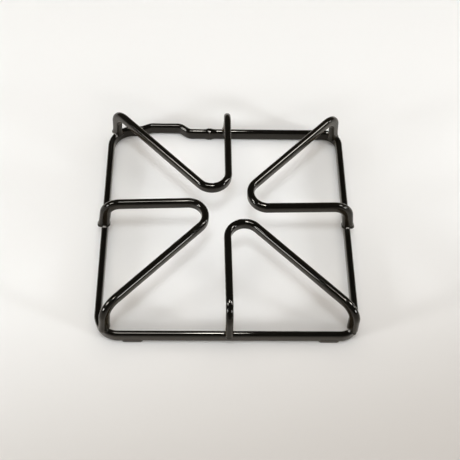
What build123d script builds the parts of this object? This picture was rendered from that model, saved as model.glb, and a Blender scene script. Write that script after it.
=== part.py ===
from build123d import *
from math import degrees, sqrt
import os

# Welded pan support for one hob burner, in millimetres.
# Z is the burner axis, the front bar lies towards -Y, and Z = 0 is the plane under the two front feet.

# Ring frame: one flat bar on edge, bent into a rounded square
outer_side = 205.0
ring_bar_width = 4.8
ring_bar_height = 9.6
ring_edge_chamfer = 1.3
left_corner_inside_radius = 16.6
right_corner_inside_radius = 10.4

# Outward joggle in the back bar, measured along the bar from the middle of the left bar
joggle_from_side = 26.0
joggle_ramp = 8.0
joggle_crest = 26.0
joggle_depth = 6.2
joggle_leftover = 2.6
joggle_inside_radius = 5.6

# Butt weld that closes the ring, in the back bar between the joggle and the leg at its middle
seam_from_middle = 14.2
seam_swell = 0.6
seam_blend = 0.15
seam_half_length = 2.8

# Fingers: flat bar on edge, bent into a V in plan, with a leg down to the ring at each end
finger_bar_width = 5.4
finger_bar_height = 8.3
finger_edge_chamfer = 1.3
overall_height = 43.2
apex_past_axis = 2.8
apex_beside_axis = 2.1
apex_inside_radius = 10.9
leg_bend_inside_radius = 8.3
side_leg_outset = 1.0
side_leg_lean = 4.4
corner_leg_inset = 0.6
corner_leg_lean = 3.2

# Upset metal where each leg is welded to the top of the ring
leg_weld_swell = 0.5
leg_weld_height = 2.6
leg_weld_blend = 0.6

# Feet: two pads welded under the front bar, placed from the middles of the left and right bars
foot_height = 2.2
foot_length = 18.0
foot_width = 4.4
foot_end_slope = 40.0
foot_edge_chamfer = 0.7
left_foot_from_side = 27.1
right_foot_from_side = 21.1

# Levels and places that follow from the sizes above
ring_half = (outer_side - ring_bar_width) / 2
ring_top = foot_height + ring_bar_height
ring_middle = foot_height + ring_bar_height / 2
left_corner_radius = left_corner_inside_radius + ring_bar_width / 2
right_corner_radius = right_corner_inside_radius + ring_bar_width / 2
corner_middle = ring_half - (left_corner_radius + right_corner_radius) / 2 * (1 - 1 / sqrt(2))
joggle_radius = joggle_inside_radius + ring_bar_width / 2
finger_middle = overall_height - finger_bar_height / 2
apex_radius = apex_inside_radius + finger_bar_width / 2
leg_bend_radius = leg_bend_inside_radius + finger_bar_height / 2
leg_rise = finger_middle - ring_top
leg_leans = (side_leg_lean, corner_leg_lean)
up = Vector(0, 0, 1)

os.makedirs("parts", exist_ok=True)


def lay_bar(section, runs, sides):
    # Bar along a row of straight and round runs; a side points across the bar's width where its run starts
    for run, side in zip(runs, sides):
        bar_end = Plane(origin=run @ 0, x_dir=side, z_dir=run % 0) * section
        if run.geom_type == GeomType.LINE:
            extrude(bar_end, amount=run.length)
        else:
            bend_axis = Axis(run.arc_center, (run @ 0 - run.arc_center).cross(run % 0))
            revolve(bar_end, axis=bend_axis, revolution_arc=degrees(run.length / run.radius))


# Ring: the bar's middle line, counter-clockwise from the front left corner
joggle_left = joggle_from_side - ring_half
joggle_right = joggle_left + 2 * joggle_ramp + joggle_crest
ring_corners = [
    (-ring_half, -ring_half),
    (ring_half, -ring_half),
    (ring_half, ring_half),
    (joggle_right, ring_half),
    (joggle_right - joggle_ramp, ring_half + joggle_depth),
    (joggle_left + joggle_ramp, ring_half + joggle_depth),
    (joggle_left, ring_half + joggle_leftover),
    (-ring_half, ring_half + joggle_leftover),
]
ring_bends = [left_corner_radius] + [right_corner_radius] * 2 + [joggle_radius] * 4 + [left_corner_radius]

with BuildSketch() as ring_section:
    Rectangle(ring_bar_width, ring_bar_height)
    chamfer(ring_section.vertices(), length=ring_edge_chamfer)

with BuildPart() as ring_frame:
    with BuildLine(Plane.XY.offset(ring_middle)) as ring_line:
        FilletPolyline(*ring_corners, radius=ring_bends, close=True)
    ring_runs = ring_line.wire().order_edges()
    ring_sides = [(run % 0).cross(up) for run in ring_runs]
    lay_bar(ring_section.sketch, ring_runs, ring_sides)
    # Flash of the butt weld: thickest at the seam, run out into the bar on both sides
    for step, swell in ((-1, -seam_blend), (0, seam_swell), (1, -seam_blend)):
        seam_middle = (step * seam_half_length - seam_from_middle, ring_half, ring_middle)
        with BuildSketch(Plane(origin=seam_middle, x_dir=(0, 1, 0), z_dir=(1, 0, 0))) as flash:
            Rectangle(ring_bar_width + 2 * swell, ring_bar_height + 2 * swell)
            chamfer(flash.vertices(), length=ring_edge_chamfer + swell)
    loft()
ring_frame.part.label = "ring_frame"
export_step(ring_frame.part, "parts/ring_frame.step")

# Fingers: four alike, a quarter turn apart, each from the middle of a side to the corner on its right
side_foot = Vector(0, -ring_half - side_leg_outset)
corner_foot = Vector(corner_middle, -corner_middle) - Vector(1, -1).normalized() * corner_leg_inset
apex = Vector(-apex_beside_axis, apex_past_axis)
finger_turns = {"front_finger": 0, "right_finger": 90, "back_finger": 180, "left_finger": 270}

with BuildSketch() as finger_section:
    Rectangle(finger_bar_width, finger_bar_height)
    chamfer(finger_section.vertices(), length=finger_edge_chamfer)

for finger_name, turn in finger_turns.items():
    with BuildPart() as finger:
        feet = [foot.rotate(Axis.Z, turn) for foot in (side_foot, corner_foot)]
        tip = apex.rotate(Axis.Z, turn)
        inward = [(tip - foot).normalized() for foot in feet]
        # Each leg leans inward from the ring up to its arm, and its line runs on below until it is cut level
        rises = [aim * lean + up * leg_rise for aim, lean in zip(inward, leg_leans)]
        shoulders = [foot + up * ring_top + rise for foot, rise in zip(feet, rises)]
        toes = [foot + up * ring_top - rise for foot, rise in zip(feet, rises)]
        with BuildLine() as route:
            FilletPolyline(
                toes[0],
                shoulders[0],
                tip + up * finger_middle,
                shoulders[1],
                toes[1],
                radius=[leg_bend_radius, apex_radius, leg_bend_radius],
            )
        # Leg, bend, arm and the bend at the apex, then arm, bend and leg on the way out
        finger_sides = [inward[0].cross(up)] * 4 + [up.cross(inward[1])] * 3
        finger_runs = route.wire().order_edges()
        lay_bar(finger_section.sketch, finger_runs, finger_sides)
        split(bisect_by=Plane.XY.offset(ring_top), keep=Keep.TOP)
        # Upset metal round the foot of each leg, widest on the ring
        for foot, aim, rise in zip(feet, inward, rises):
            for level, swell in ((0, leg_weld_swell), (leg_weld_height, -leg_weld_blend)):
                middle = foot + up * ring_top + rise * (level / leg_rise)
                with BuildSketch(Plane(origin=middle, x_dir=aim.cross(up), z_dir=up)) as collar:
                    Rectangle(finger_bar_width + 2 * swell, finger_bar_height + 2 * swell)
                    chamfer(collar.vertices(), length=finger_edge_chamfer + swell)
            loft()
    finger.part.label = finger_name
    export_step(finger.part, f"parts/{finger_name}.step")

# Feet: pads with sloping ends and eased lower edges
foot_places = {
    "front_left_foot": left_foot_from_side - ring_half,
    "front_right_foot": ring_half - right_foot_from_side,
}

for foot_name, foot_x in foot_places.items():
    with BuildPart() as pad:
        pad_side = Plane(origin=(foot_x, -ring_half, foot_height / 2), x_dir=(1, 0, 0), z_dir=(0, -1, 0))
        with BuildSketch(pad_side):
            Trapezoid(foot_length, foot_height, foot_end_slope, rotation=180)
        extrude(amount=foot_width / 2, both=True)
        chamfer(pad.edges().filter_by(Axis.X).group_by(Axis.Z)[0], length=foot_edge_chamfer)
    pad.part.label = foot_name
    export_step(pad.part, f"parts/{foot_name}.step")
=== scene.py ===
import bpy
import numpy as np
from mathutils import Matrix, Vector


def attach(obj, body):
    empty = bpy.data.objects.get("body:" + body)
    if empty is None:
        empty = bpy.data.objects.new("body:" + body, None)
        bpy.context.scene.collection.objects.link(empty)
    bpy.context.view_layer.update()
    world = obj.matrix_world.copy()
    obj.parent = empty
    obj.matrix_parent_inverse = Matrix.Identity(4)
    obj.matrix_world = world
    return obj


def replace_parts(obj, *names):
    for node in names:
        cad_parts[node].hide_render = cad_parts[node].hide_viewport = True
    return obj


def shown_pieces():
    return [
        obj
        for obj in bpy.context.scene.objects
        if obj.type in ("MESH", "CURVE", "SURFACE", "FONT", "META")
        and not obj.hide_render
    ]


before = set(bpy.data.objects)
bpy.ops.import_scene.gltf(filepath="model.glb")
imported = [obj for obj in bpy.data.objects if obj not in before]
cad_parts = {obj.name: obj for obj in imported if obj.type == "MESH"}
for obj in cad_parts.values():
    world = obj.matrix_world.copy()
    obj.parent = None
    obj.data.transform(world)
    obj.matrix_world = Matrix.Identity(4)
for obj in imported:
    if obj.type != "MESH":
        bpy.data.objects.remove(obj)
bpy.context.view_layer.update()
scene = bpy.context.scene
scene.view_settings.view_transform = "Standard"
mm = 0.001
up = np.array([0.0, 0.0, 1.0])
print("packed model loaded with", len(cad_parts), "bars and pads")


def unit(v):
    # each row divided by its own length
    return v / np.linalg.norm(v, axis=-1, keepdims=True)


def smoothStep(t):
    # 3t^2 - 2t^3 between 0 and 1, level outside
    t = np.clip(t, 0.0, 1.0)
    return t * t * (3.0 - 2.0 * t)


def bentLine(corners, bends, closed=False, gap=0.9, turnStep=np.radians(3.0)):
    # every corner gives way to an arc that touches both its runs: it starts radius * tan(turn / 2) before
    # the corner; points stand evenly along the runs, a gap apart at most, and at even turns round the arcs
    corners, bends = np.asarray(corners, float), np.asarray(bends, float)
    before, after = np.roll(corners, 1, 0), np.roll(corners, -1, 0)
    if not closed:
        before[0], after[-1] = 2 * corners[0] - corners[1], 2 * corners[-1] - corners[-2]
    comes, goes = unit(corners - before), unit(after - corners)
    turns = np.arccos(np.clip((comes * goes).sum(1), -1.0, 1.0))
    trims = (bends * np.tan(turns / 2))[:, None]
    starts, ends = corners - comes * trims, corners + goes * trims
    points, aims = [], []
    for k in range(len(corners)):
        if turns[k] > 1e-6 and bends[k] > 0:
            t = np.linspace(0, turns[k], int(turns[k] / turnStep) + 2)[:, None]
            inside = unit(goes[k] - comes[k] * np.cos(turns[k]))
            points.append(starts[k] + bends[k] * (np.sin(t) * comes[k] + (1 - np.cos(t)) * inside))
            aims.append(np.cos(t) * comes[k] + np.sin(t) * inside)
        else:
            points.append(corners[k][None])
            aims.append(goes[k][None] if k == 0 else comes[k][None])
        if closed or k < len(corners) - 1:
            run = starts[(k + 1) % len(corners)] - ends[k]
            t = np.linspace(0, 1, int(np.linalg.norm(run) / gap) + 2)[1:-1, None]
            points.append(ends[k] + t * run)
            aims.append(np.repeat(goes[k][None], len(t), 0))
    return np.concatenate(points), np.concatenate(aims)


coat = 0.22  # enamel on the steel, all round


def barSkin(line, aims, width, height, edge, level=0.0, perCorner=8, leastClimb=0.3):
    # rounded rectangle carried along a line: the point for station u and turn v is
    # line + side * (corner side + edge * cos v) + across * (corner across + edge * sin v), grown by the
    # coat; level tips a station's across direction until it lies flat, for an end that is cut level, and
    # leastClimb keeps a nearly flat run from being divided by its small climb
    quarter = np.linspace(0, np.pi / 2, perCorner + 1)
    turn = np.concatenate([quarter + k * np.pi / 2 for k in range(4)])
    signSide = np.repeat([1.0, -1.0, -1.0, 1.0], perCorner + 1)
    signAcross = np.repeat([1.0, 1.0, -1.0, -1.0], perCorner + 1)
    sizes = (width + 2 * coat, height + 2 * coat, edge + coat, level)
    width, height, edge, level = (np.broadcast_to(a, len(line))[:, None] for a in sizes)
    side = unit(np.cross(aims, up))
    across = np.cross(side, aims)
    rise = np.where(np.abs(aims[:, 2:]) > leastClimb, aims[:, 2:], 1.0)
    across = across - level * aims * across[:, 2:] / rise
    a = signSide * (width / 2 - edge) + edge * np.cos(turn)
    b = signAcross * (height / 2 - edge) + edge * np.sin(turn)
    return line[:, None] + a[..., None] * side[:, None] + b[..., None] * across[:, None]


def lumpSkin(middle, axes, halfSizes, squareness=0.75, rows=14, cols=28):
    # superellipsoid: cosines and sines of latitude and longitude raised to the squareness, so that a lower
    # power swells the corners; axes turn it and halfSizes stretch it
    lat = np.linspace(-np.pi / 2, np.pi / 2, rows + 2)[1:-1, None]  # the poles are closed by the end fans
    lon = np.linspace(0, 2 * np.pi, cols, endpoint=False)[None]
    bulge = lambda t: np.sign(t) * np.abs(t) ** squareness
    shape = np.stack([bulge(np.cos(lat)) * bulge(np.cos(lon)),
                      bulge(np.cos(lat)) * bulge(np.sin(lon)),
                      np.broadcast_to(bulge(np.sin(lat)), (rows, cols))], -1)
    return np.asarray(middle) + (shape * halfSizes) @ np.asarray(axes)


def skinFaces(rows, cols, closed):
    # quads between neighbouring rows, round each row, and from the last row to the first where it is closed
    i = np.arange(rows if closed else rows - 1)[:, None]
    j = np.arange(cols)[None]
    i2, j2 = (i + 1) % rows, (j + 1) % cols
    return np.stack([i * cols + j, i2 * cols + j, i2 * cols + j2, i * cols + j2], -1).reshape(-1, 4)


# Reach of a weld's finish in mm, and the spots where a painted glint lightens the enamel at a weld
weld = {
    "near": 3.0, "gone": 9.0, "farAway": 99.0, "paintedGlintSize": 1.1,
    "paintedGlintSpots": [
        (-102.0, -3.5, 12.5), (-100.4, -3.5, 12.6), (-98.9, -3.5, 12.5), (99.4, -3.1, 12.6),
        (101.0, -3.0, 12.5), (93.6, -98.2, 12.4), (92.4, -96.6, 12.4), (-98.7, 96.0, 12.4),
        (-95.5, 92.6, 12.4), (97.1, 96.1, 12.4), (-14.1, 98.3, 12.3),
    ],
}


def addPiece(name, skins, welds):
    # skins are (grid of points in mm, closed along its length); an open one gets a fan to a middle point at
    # each end; two values go with every point for the finish: a smooth step of its distance to the nearest
    # weld, and a bell curve of its distance to the nearest spot of painted glint
    points, faces, count = [], [], 0
    for grid, closed in skins:
        rows, cols = grid.shape[:2]
        faces += (skinFaces(rows, cols, closed) + count).tolist()
        points.append(grid.reshape(-1, 3))
        count += rows * cols
        if not closed:
            j = np.arange(cols)
            first, last = count - rows * cols + j, count - cols + j
            points.append(np.stack([grid[0].mean(0), grid[-1].mean(0)]))
            faces += np.stack([first, np.roll(first, -1), np.full(cols, count)], -1).tolist()
            faces += np.stack([np.roll(last, -1), last, np.full(cols, count + 1)], -1).tolist()
            count += 2
    points = np.concatenate(points)
    mesh = bpy.data.meshes.new(name + "Mesh")
    mesh.from_pydata((points * mm).tolist(), [], faces)
    mesh.polygons.foreach_set("use_smooth", np.ones(len(mesh.polygons), bool))
    gapTo = lambda spots: np.linalg.norm(points[:, None] - np.asarray(spots, float)[None], axis=-1).min(1)
    near = smoothStep((weld["gone"] - gapTo(welds)) / (weld["gone"] - weld["near"]))
    # painted glint: how strongly each point takes the pale colour that stands in for a highlight at a weld
    pale = np.exp(-(gapTo(weld["paintedGlintSpots"]) / weld["paintedGlintSize"]) ** 2)
    for label, values in (("weldNear", near), ("weldPaintedGlint", pale)):
        mesh.attributes.new(label, "FLOAT", "POINT").data.foreach_set("value", values.astype(np.float32))
    mesh.validate()
    mesh.update()
    piece = bpy.data.objects.new(name, mesh)
    scene.collection.objects.link(piece)
    return piece


# Ring frame
ringBar = {
    "middleHalf": 100.1, "middleLevel": 7.15, "width": 4.72, "height": 10.3, "edge": 2.3,
    "frontLeft": 16.5, "frontRight": 12.8, "backRight": 12.8, "backLeft": 19.0, "joggleBend": 8.0,
    "joggleLeft": -74.1, "joggleRight": -32.1, "joggleRamp": 8.0, "joggleDepth": 6.2, "joggleLeftover": 2.6,
    "seamAt": (-14.2, 100.1), "seamSwell": 1.25, "seamSpread": 2.4, "pinch": 0.35, "pinchSpread": 0.5,
    "backStrip": 5.0,
}


def makeRing(s):
    # the middle line is a square with a joggle in its back run, every corner bent to an arc
    h, j = s["middleHalf"], s["joggleBend"]
    left, right, ramp = s["joggleLeft"], s["joggleRight"], s["joggleRamp"]
    crest, rest = h + s["joggleDepth"], h + s["joggleLeftover"]
    plan = [(-h, -h), (h, -h), (h, h), (right, h), (right - ramp, crest), (left + ramp, crest),
            (left, rest), (-h, rest)]
    bends = [s["frontLeft"], s["frontRight"], s["backRight"], j, j, j, j, s["backLeft"]]
    line, aims = bentLine([(x, y, s["middleLevel"]) for x, y in plan], bends, closed=True)
    # the flash of the butt weld swells the back bar by a bell curve about the seam, less a narrow one
    away = np.where(line[:, 1] > h - s["backStrip"], line[:, 0] - s["seamAt"][0], weld["farAway"])
    bell = lambda spread: np.exp(-(away / spread) ** 2)
    swell = s["seamSwell"] * (bell(s["seamSpread"]) - s["pinch"] * bell(s["pinchSpread"]))
    skin = barSkin(line, aims, s["width"] + swell, s["height"] + swell, s["edge"])
    return addPiece("ringFrame", [(skin, True)], [(*s["seamAt"], s["middleLevel"])])


ringFrame = makeRing(ringBar)
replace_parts(ringFrame, "ring_frame")
print("ring bent and its seam closed")

# Fingers; fingerSets holds how each one was set by hand before welding, in mm: each foot's slide along the
# ring, how far out it stands and how far its leg leans in, the apex across and along, the rise of the side
# shoulder, apex and corner shoulder, at each foot the pressed lip and the enamel gathered round it, and
# stray nubs of weld as middle and half sizes
fingerBar = {
    "width": 5.36, "height": 8.7, "edge": 2.42, "middleLevel": 39.05, "ringTop": 11.8,
    "sideFoot": (0.0, -101.1), "cornerFoot": (95.02, -95.02), "apex": (-2.1, 2.8),
    "legBend": 12.45, "apexBend": 13.6,
    "lipLevel": 0.2, "lipHeight": 0.8, "webHeight": 4.0, "levelHeight": 7.0, "sink": 0.3,
    "cutEdge": 0.25, "cutSteps": 5, "weldHalf": (4.2, 1.9, 1.2), "weldLevel": 0.35, "nubSquareness": 0.9,
}
fingerSets = {
    "front": {"turn": 0, "slide": (1.4, 0.5), "out": (-0.3, 1.5), "lean": (3.3, 1.1),
              "apex": (1.7, 0.1), "rise": (0.3, 0.0, -0.5), "lip": (0.15, 0.0), "web": (0.0, 0.0),
              "nubs": [((98.3, -98.8, 10.0), (1.3, 1.2, 2.3))]},
    "right": {"turn": 90, "slide": (0.2, -0.4), "out": (-0.5, -0.4), "lean": (3.7, 3.2),
              "apex": (-1.0, -2.0), "rise": (-1.0, 0.5, 2.0), "lip": (0.6, 0.3), "web": (0.1, 0.3),
              "nubs": []},
    "back": {"turn": 180, "slide": (-0.8, -1.6), "out": (-1.6, 1.5), "lean": (4.2, 1.9),
             "apex": (0.5, 0.2), "rise": (1.2, -0.2, 0.6), "lip": (0.2, 0.4), "web": (0.7, 0.4),
             "nubs": []},
    "left": {"turn": 270, "slide": (-0.3, 1.2), "out": (-0.4, -0.2), "lean": (4.4, 3.2),
             "apex": (-1.7, -0.6), "rise": (-0.4, -0.4, -0.7), "lip": (0.55, 0.0), "web": (0.1, 0.2),
             "nubs": []},
}


def weldLine(foot, radial):
    # distance of the ring bar's middle line from the burner axis along a foot's own direction: half the
    # side for a square direction, and the root of 2 times (half - bend), plus the bend, for a slanting one
    corner = abs(radial[0] * radial[1]) > 0.1
    bend = ringBar[("back" if foot[1] > 0 else "front") + ("Right" if foot[0] > 0 else "Left")]
    half = ringBar["middleHalf"]
    return np.sqrt(2) * (half - bend) + bend if corner else half


def makeFinger(name, s, own):
    # the middle line runs from toe to shoulder to apex to shoulder to toe, with an arc at each bend
    a = np.radians(own["turn"])
    cos, sin = np.cos(a), np.sin(a)
    turned = lambda p: np.array([p[0] * cos - p[1] * sin, p[0] * sin + p[1] * cos, p[2]])
    half = np.sqrt(0.5)
    slide, out = own["slide"], own["out"]
    feet = [turned((s["sideFoot"][0] + slide[0], s["sideFoot"][1] - out[0], s["ringTop"])),
            turned((s["cornerFoot"][0] + half * (slide[1] + out[1]),
                    s["cornerFoot"][1] + half * (slide[1] - out[1]), s["ringTop"]))]
    apexLevel = s["middleLevel"] + own["rise"][1]
    apex = turned((s["apex"][0] + own["apex"][0], s["apex"][1] + own["apex"][1], apexLevel))
    shoulders, toes = [], []
    for foot, lean, rise in zip(feet, own["lean"], own["rise"][::2]):
        leg = unit((apex - foot) * (1, 1, 0)) * lean + up * (s["middleLevel"] + rise - s["ringTop"])
        shoulders.append(foot + leg)
        toes.append(foot - unit(leg) * s["sink"])
    corners = [toes[0], shoulders[0], apex, shoulders[1], toes[1]]
    line, aims = bentLine(corners, [0.0, s["legBend"], s["apexBend"], s["legBend"], 0.0])
    # extra stations at both cut ends, a quarter circle that eases the edge of the cut
    steps = s["cutSteps"]
    ease = np.linspace(0, np.pi / 2, steps)
    inset = s["cutEdge"] * (1 - np.cos(ease))
    back = s["cutEdge"] * (1 - np.sin(ease))
    head = line[:1] + aims[:1] * back[::-1, None]
    tail = line[-1:] - aims[-1:] * back[:, None]
    line = np.concatenate([head, line[1:-1], tail])
    aims = np.concatenate([np.repeat(aims[:1], steps, 0), aims[1:-1], np.repeat(aims[-1:], steps, 0)])
    shrink = np.zeros(len(line))
    shrink[:steps], shrink[-steps:] = inset[::-1], inset
    # lip and web of each foot: two bell curves of the height above the ring
    over = line[:, 2] - s["ringTop"] - s["lipLevel"]
    which = (np.linalg.norm(line - feet[0], axis=1) > np.linalg.norm(line - feet[1], axis=1)).astype(int)
    bell = lambda height: np.exp(-(np.maximum(over, 0.0) / height) ** 2)
    lip, web = np.take(own["lip"], which), np.take(own["web"], which)
    swell = lip * bell(s["lipHeight"]) + web * bell(s["webHeight"])
    level = 1.0 - smoothStep(over / s["levelHeight"])
    grow = 2 * (swell - shrink)
    skins = [(barSkin(line, aims, s["width"] + grow, s["height"] + grow, s["edge"], level), False)]
    welds = []
    for foot, square in zip(feet, (True, False)):
        radial = turned((0.0, -1.0, 0.0)) if square else unit(foot * (1, 1, 0))
        frameOf = [np.cross(up, radial), radial, up]
        middle = foot - radial * (foot @ radial - weldLine(foot, radial)) + up * s["weldLevel"]
        skins.append((lumpSkin(middle, frameOf, s["weldHalf"]), False))
        welds.append(middle)
    for middle, halfSizes in own["nubs"]:
        radial = unit(np.array([middle[0], middle[1], 0.0]))
        frameOf = [np.cross(up, radial), radial, up]
        skins.append((lumpSkin(middle, frameOf, halfSizes, s["nubSquareness"]), False))
    return addPiece(name + "Finger", skins, welds)


for name, own in fingerSets.items():
    piece = makeFinger(name, fingerBar, own)
    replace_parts(piece, name + "_finger")
    print(name, "finger bent and stood on the ring")

# Feet
footPad = {
    "length": 19.0, "ramp": 3.4, "drop": 1.95, "width": 4.92, "endWidth": 3.8, "edge": 1.6,
    "barBottom": 2.2, "top": 6.5, "endsInside": 0.3, "leftX": -73.0, "rightX": 79.0, "y": -100.1,
    "stations": 60,
}


def makePad(name, s, x):
    # rounded section carried along the bar: its bottom falls by the drop times a smooth step in from either
    # end, and its width grows with it, so that the ends run out inside the bar
    along = np.linspace(-s["length"] / 2, s["length"] / 2, s["stations"])
    rise = smoothStep((s["length"] / 2 - np.abs(along)) / s["ramp"])
    bottom = s["barBottom"] + s["endsInside"] - (s["drop"] + s["endsInside"]) * rise
    line = np.stack([x + along, np.full(s["stations"], s["y"]), (s["top"] + bottom) / 2], -1)
    aims = np.broadcast_to([1.0, 0.0, 0.0], line.shape)
    width = s["endWidth"] + (s["width"] - s["endWidth"]) * rise
    skin = barSkin(line, aims, width, s["top"] - bottom, s["edge"])
    return addPiece(name, [(skin, False)], [(0.0, 0.0, weld["farAway"])])  # no weld near


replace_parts(makePad("frontLeftFoot", footPad, footPad["leftX"]), "front_left_foot")
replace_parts(makePad("frontRightFoot", footPad, footPad["rightX"]), "front_right_foot")
print("pads set under the front bar")

# Gloss black enamel
enamel = {
    "colour": (0.0018, 0.0017, 0.0014, 1.0), "thinColour": (0.0046, 0.0043, 0.0035, 1.0),
    "gloss": 0.03, "dull": 0.07, "weldDull": 0.14, "rippleScale": 260.0, "ripple": 0.03, "weldRipple": 0.5,
    # pale is the painted glint colour of the weld spots, standing in for highlights
    "pale": (0.40, 0.38, 0.35, 1.0), "dust": (1.0, 0.70, 0.36, 1.0), "dustLeast": 0.03, "dustMost": 0.14,
    "dustScale": 900.0, "dustSpread": 0.45, "dustFrom": 0.35, "dustTo": 0.65,
    "ior": 1.34, "glossTint": (1.0, 0.95, 0.86, 1.0), "cloudScale": 38.0, "thinFrom": 0.35, "thinTo": 0.75,
    "spotFrom": 0.35, "spotTo": 0.8, "lumpScale": 900.0, "rippleDepth": 0.0008, "weldDepth": 0.0004,
}


def node(tree, kind, **values):
    # a new node; each value goes to the node's own setting of that name, or else to its socket
    made = tree.nodes.new(kind)
    for key, value in values.items():
        if hasattr(made, key):
            setattr(made, key, value)
        else:
            made.inputs[key.replace("_", " ")].default_value = value
    return made


def makeEnamel(s):
    made = bpy.data.materials.new("blackEnamel")
    made.use_nodes = True
    tree, link = made.node_tree, made.node_tree.links.new
    shader = tree.nodes["Principled BSDF"]
    shader.inputs["IOR"].default_value = s["ior"]
    shader.inputs["Specular Tint"].default_value = s["glossTint"]
    shader.inputs["Sheen Roughness"].default_value = s["dustSpread"]
    shader.inputs["Sheen Tint"].default_value = s["dust"]
    place = node(tree, "ShaderNodeTexCoord").outputs["Object"]
    nearWeld = node(tree, "ShaderNodeAttribute", attribute_name="weldNear").outputs["Fac"]
    paintedGlintAtWeld = node(tree, "ShaderNodeAttribute", attribute_name="weldPaintedGlint").outputs["Fac"]
    # thin and thick enamel: slow noise tints the colour and dulls the gloss
    cloud = node(tree, "ShaderNodeTexNoise", Scale=s["cloudScale"], Detail=4.0)
    tint = node(tree, "ShaderNodeMix", data_type="RGBA")
    tint.inputs["A"].default_value, tint.inputs["B"].default_value = s["colour"], s["thinColour"]
    dull = node(tree, "ShaderNodeMapRange", From_Min=s["thinFrom"], From_Max=s["thinTo"],
                To_Min=s["gloss"], To_Max=s["dull"])
    rough = node(tree, "ShaderNodeMix", B=s["weldDull"])
    link(place, cloud.inputs["Vector"])
    link(cloud.outputs["Fac"], tint.inputs["Factor"])
    link(cloud.outputs["Fac"], dull.inputs["Value"])
    link(nearWeld, rough.inputs["Factor"])
    link(dull.outputs["Result"], rough.inputs["A"])
    # painted glints: a pale base colour in spots at the welds, standing in for highlights
    spot = node(tree, "ShaderNodeMapRange", From_Min=s["spotFrom"], From_Max=s["spotTo"])
    glintPaint = node(tree, "ShaderNodeMix", data_type="RGBA")
    glintPaint.inputs["B"].default_value = s["pale"]
    link(paintedGlintAtWeld, spot.inputs["Value"])
    link(spot.outputs["Result"], glintPaint.inputs["Factor"])
    link(tint.outputs["Result"], glintPaint.inputs["A"])
    link(glintPaint.outputs["Result"], shader.inputs["Base Color"])
    link(rough.outputs["Result"], shader.inputs["Roughness"])
    # a film of burnt dust, mottled by fine noise, that shows where the surface turns away
    mottle = node(tree, "ShaderNodeTexNoise", Scale=s["dustScale"], Detail=3.0)
    film = node(tree, "ShaderNodeMapRange", From_Min=s["dustFrom"], From_Max=s["dustTo"],
                To_Min=s["dustLeast"], To_Max=s["dustMost"])
    link(place, mottle.inputs["Vector"])
    link(mottle.outputs["Fac"], film.inputs["Value"])
    link(film.outputs["Result"], shader.inputs["Sheen Weight"])
    # orange-peel ripple all over, and the welds' own lumps
    peel = node(tree, "ShaderNodeTexNoise", Scale=s["rippleScale"], Detail=2.0)
    lumps = node(tree, "ShaderNodeTexNoise", Scale=s["lumpScale"], Detail=3.0)
    weldLumps = node(tree, "ShaderNodeMath", operation="MULTIPLY")
    ripple = node(tree, "ShaderNodeBump", Strength=s["ripple"], Distance=s["rippleDepth"])
    weldBump = node(tree, "ShaderNodeBump", Strength=s["weldRipple"], Distance=s["weldDepth"])
    link(place, peel.inputs["Vector"])
    link(place, lumps.inputs["Vector"])
    link(lumps.outputs["Fac"], weldLumps.inputs[0])
    link(nearWeld, weldLumps.inputs[1])
    link(peel.outputs["Fac"], ripple.inputs["Height"])
    link(weldLumps.outputs["Value"], weldBump.inputs["Height"])
    link(ripple.outputs["Normal"], weldBump.inputs["Normal"])
    link(weldBump.outputs["Normal"], shader.inputs["Normal"])
    return made


blackEnamel = makeEnamel(enamel)
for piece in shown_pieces():
    piece.data.materials.append(blackEnamel)
    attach(piece, "root")

# Floor: paper with painted shade, tipped so that it meets the pads in front and the back bar behind
paper = {
    "half": 12.0, "points": 25, "frontY": -0.1001, "backY": 0.1001, "backRise": 0.0017, "tipReach": 4.0,
    "pale": (0.95, 0.938, 0.912, 1.0), "paintedShade": (0.565, 0.53, 0.49, 1.0),
    "shadeFrom": 0.03, "shadeTo": -0.26, "slant": -0.22, "roughness": 0.9, "specular": 0.1,
    "farFrom": 0.55, "farTo": 1.3, "farLight": 0.86, "farColour": (1.0, 0.99, 0.965, 1.0),
}


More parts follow.
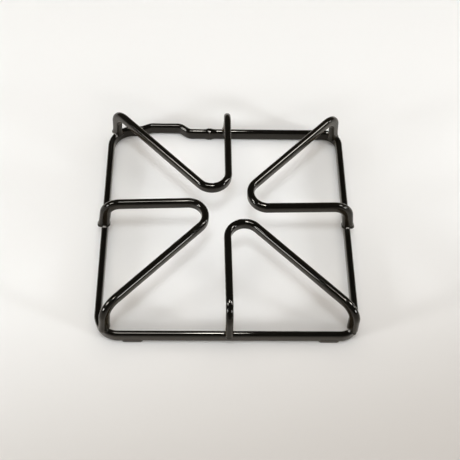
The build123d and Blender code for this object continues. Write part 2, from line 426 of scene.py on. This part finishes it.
def makeFloor(s):
    # a grid of points, closer together near the middle: position is the cube of an even spread, and the
    # height climbs evenly from the front bar to the back bar and levels off well outside them
    n = s["points"]
    t = np.linspace(-1, 1, n)
    x, y = np.meshgrid(s["half"] * t ** 3, s["half"] * t ** 3)
    climb = (y - s["frontY"]) / (s["backY"] - s["frontY"])
    z = s["backRise"] * np.clip(climb, -s["tipReach"], s["tipReach"])
    k = np.arange(n * n).reshape(n, n)
    faces = np.stack([k[:-1, :-1], k[:-1, 1:], k[1:, 1:], k[1:, :-1]], -1).reshape(-1, 4)
    mesh = bpy.data.meshes.new("paperMesh")
    mesh.from_pydata(np.stack([x, y, z], -1).reshape(-1, 3).tolist(), [], faces.tolist())
    floor = bpy.data.objects.new("paperFloor", mesh)
    scene.collection.objects.link(floor)
    made = bpy.data.materials.new("palePaper")
    made.use_nodes = True
    tree, link = made.node_tree, made.node_tree.links.new
    shader, output = tree.nodes["Principled BSDF"], tree.nodes["Material Output"]
    shader.inputs["Roughness"].default_value = s["roughness"]
    shader.inputs["Specular IOR Level"].default_value = s["specular"]
    # painted shade: the paper's colour darkens towards the front, along a line that slants across it
    place = node(tree, "ShaderNodeTexCoord").outputs["Object"]
    parts = node(tree, "ShaderNodeSeparateXYZ")
    slant = node(tree, "ShaderNodeMath", operation="MULTIPLY_ADD")
    slant.inputs[1].default_value = s["slant"]
    fade = node(tree, "ShaderNodeMapRange", interpolation_type="SMOOTHSTEP",
                From_Min=s["shadeFrom"], From_Max=s["shadeTo"])
    tone = node(tree, "ShaderNodeMix", data_type="RGBA")
    tone.inputs["A"].default_value, tone.inputs["B"].default_value = s["pale"], s["paintedShade"]
    link(place, parts.inputs["Vector"])
    link(parts.outputs["X"], slant.inputs[0])
    link(parts.outputs["Y"], slant.inputs[2])
    link(slant.outputs["Value"], fade.inputs["Value"])
    link(fade.outputs["Result"], tone.inputs["Factor"])
    link(tone.outputs["Result"], shader.inputs["Base Color"])
    # far from the object the paper shows as an even pale ground to the camera and in reflections
    reach = node(tree, "ShaderNodeVectorMath", operation="LENGTH")
    far = node(tree, "ShaderNodeMapRange", interpolation_type="SMOOTHSTEP",
               From_Min=s["farFrom"], From_Max=s["farTo"])
    path = node(tree, "ShaderNodeLightPath")
    seen = node(tree, "ShaderNodeMath", operation="MAXIMUM")
    clear = node(tree, "ShaderNodeMath", operation="MAXIMUM")
    share = node(tree, "ShaderNodeMath", operation="MULTIPLY")
    glow = node(tree, "ShaderNodeEmission", Color=s["farColour"], Strength=s["farLight"])
    mix = node(tree, "ShaderNodeMixShader")
    link(place, reach.inputs[0])
    link(reach.outputs["Value"], far.inputs["Value"])
    link(path.outputs["Is Camera Ray"], seen.inputs[0])
    link(path.outputs["Is Glossy Ray"], seen.inputs[1])
    link(seen.outputs["Value"], clear.inputs[0])
    link(path.outputs["Is Transmission Ray"], clear.inputs[1])
    link(far.outputs["Result"], share.inputs[0])
    link(clear.outputs["Value"], share.inputs[1])
    link(share.outputs["Value"], mix.inputs["Fac"])
    link(shader.outputs["BSDF"], mix.inputs[1])
    link(glow.outputs["Emission"], mix.inputs[2])
    link(mix.outputs["Shader"], output.inputs["Surface"])
    mesh.materials.append(made)


makeFloor(paper)
print("paper floor laid")

# Light: soft lamps that light the paper, lamps that show in the gloss, and a dim room
lamps = {
    "key": {"toward": (-0.03, -0.22, 0.97), "far": 2.2, "size": (0.45, 0.50), "light": 15.5,
            "colour": (0.94, 1.0, 1.06), "inGloss": False},
    "line": {"toward": (-0.086, 0.035, 1.0), "far": 2.2, "size": (0.26, 0.55), "light": 46.0,
             "colour": (1.0, 1.0, 1.0), "onPaper": False},
    "brightLine": {"toward": (0.007, 0.055, 1.0), "far": 2.2, "size": (0.15, 0.55), "light": 74.0,
                   "colour": (1.0, 1.0, 1.0), "onPaper": False},
    "left": {"toward": (-0.87, -0.40, 0.28), "far": 2.2, "size": (0.44, 0.38), "light": 42.0,
             "colour": (0.96, 1.0, 1.05)},
    "right": {"toward": (0.87, -0.43, 0.28), "far": 2.2, "size": (0.33, 0.38), "light": 48.0,
              "colour": (0.96, 1.0, 1.05)},
    "leftTall": {"toward": (-0.71, -0.09, 0.70), "far": 2.0, "size": (0.30, 0.62), "light": 44.0,
                 "colour": (1.0, 1.0, 1.0), "onPaper": False},
    "rightTall": {"toward": (0.66, 0.06, 0.74), "far": 2.0, "size": (0.36, 0.55), "light": 44.0,
                  "colour": (1.0, 1.0, 1.0), "onPaper": False},
    "rightLow": {"toward": (0.93, 0.10, 0.32), "far": 2.0, "size": (0.34, 0.40), "light": 22.0,
                 "colour": (1.0, 1.0, 1.0), "onPaper": False},
    "leftBack": {"toward": (-0.92, 0.25, 0.31), "far": 2.0, "size": (1.0, 0.6), "light": 2.2,
                 "colour": (0.96, 1.0, 1.05), "inGloss": False},
    "rightBack": {"toward": (0.92, 0.25, 0.31), "far": 2.0, "size": (1.0, 0.6), "light": 2.6,
                  "colour": (0.96, 1.0, 1.05), "inGloss": False},
    "ceiling": {"toward": (0.0, 0.25, 1.0), "far": 3.0, "size": (4.0, 4.0), "light": 1.16,
                "colour": (1.0, 0.945, 0.88), "inGloss": False},
    "front": {"toward": (0.1, -0.85, 0.45), "far": 2.4, "size": (2.2, 1.4), "light": 1.5,
              "colour": (1.0, 0.945, 0.88), "inGloss": False},
}
room = {"horizon": (0.55, 0.54, 0.52, 1.0), "dome": (0.035, 0.034, 0.032, 1.0), "horizonTop": 0.14}


def makeLamp(name, s):
    # a lamp far out along its direction, facing the origin; its power is light times pi times its area
    data = bpy.data.lights.new(name + "Lamp", "AREA")
    data.shape, data.size, data.size_y = "RECTANGLE", *s["size"]
    data.energy = s["light"] * np.pi * s["size"][0] * s["size"][1]
    data.color = s["colour"]
    lamp = bpy.data.objects.new(name + "Lamp", data)
    toward = Vector(s["toward"]).normalized()
    lamp.location = toward * s["far"]
    lamp.rotation_euler = toward.to_track_quat("Z", "Y").to_euler()
    lamp.visible_glossy, lamp.visible_diffuse = s.get("inGloss", True), s.get("onPaper", True)
    scene.collection.objects.link(lamp)


for name, s in lamps.items():
    makeLamp(name, s)

world = bpy.data.worlds.new("dimRoom")
scene.world = world
world.use_nodes = True
tree, link = world.node_tree, world.node_tree.links.new
direction = node(tree, "ShaderNodeTexCoord").outputs["Generated"]
parts = node(tree, "ShaderNodeSeparateXYZ")
climb = node(tree, "ShaderNodeMapRange", interpolation_type="SMOOTHSTEP",
             From_Min=0.0, From_Max=room["horizonTop"])
tone = node(tree, "ShaderNodeMix", data_type="RGBA")
tone.inputs["A"].default_value, tone.inputs["B"].default_value = room["horizon"], room["dome"]
link(direction, parts.inputs["Vector"])
link(parts.outputs["Z"], climb.inputs["Value"])
link(climb.outputs["Result"], tone.inputs["Factor"])
link(tone.outputs["Result"], tree.nodes["Background"].inputs["Color"])
print("lamps and room set")

# Camera, as the photo was taken
photoCamera = {
    "at": (-0.017386, -0.418346, 0.634045), "lens": 71.06, "sensor": 36.0,
    "nearest": 0.01, "farthest": 60.0,
    "right": (0.99960537, -0.00947536, 0.02644466), "up": (-0.00672603, 0.83327745, 0.55281412),
    "forward": (0.02727385, 0.55277383, -0.83288488),
}
lens = bpy.data.cameras.new("photoCamera")
lens.lens, lens.sensor_width = photoCamera["lens"], photoCamera["sensor"]
lens.clip_start, lens.clip_end = photoCamera["nearest"], photoCamera["farthest"]
camera = bpy.data.objects.new("photoCamera", lens)
turnTo = Matrix((photoCamera["right"], photoCamera["up"], -Vector(photoCamera["forward"]))).transposed()
camera.matrix_world = Matrix.Translation(photoCamera["at"]) @ turnTo.to_4x4()
scene.collection.objects.link(camera)
scene.camera = camera
print("camera placed")
